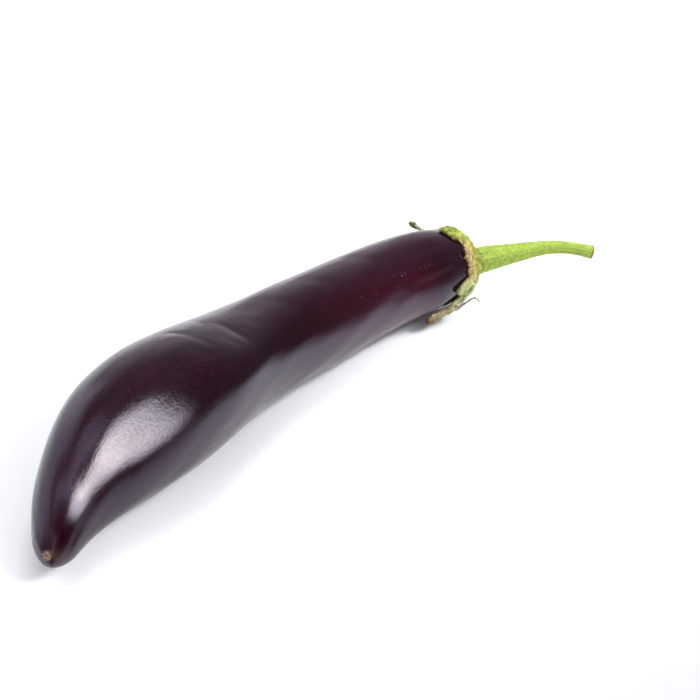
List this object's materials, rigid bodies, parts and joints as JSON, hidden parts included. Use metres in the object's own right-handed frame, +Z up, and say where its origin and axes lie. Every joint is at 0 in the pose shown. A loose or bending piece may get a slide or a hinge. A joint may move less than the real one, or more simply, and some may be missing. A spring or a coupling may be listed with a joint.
{
  "type": "long eggplant",
  "caption": "Long, bent purple eggplant lying on its side, with a lobed green calyx and a curved ribbed stem.",
  "frame": {"origin": "middle of the bounding box at the height of the surface it lies on", "axes": "+X from the blossom end to the stem end, the longest extent; +Z up, the shortest extent; it bends in the XY plane, with both ends turned towards -Y"},
  "size_m": [0.3432, 0.0697, 0.0589],
  "materials": {
    "fruit": "glossy waxy skin, very dark purple, redder towards the stem",
    "calyx": "matt leafy green with brown, dry and torn edges",
    "stem": "satin yellow-green stalk with fine lengthwise lines and small brown marks"
  },
  "bodies": {
    "root": {"fruit": "fruit", "calyx": "calyx", "stem": "stem"}
  },
  "joints": []
}
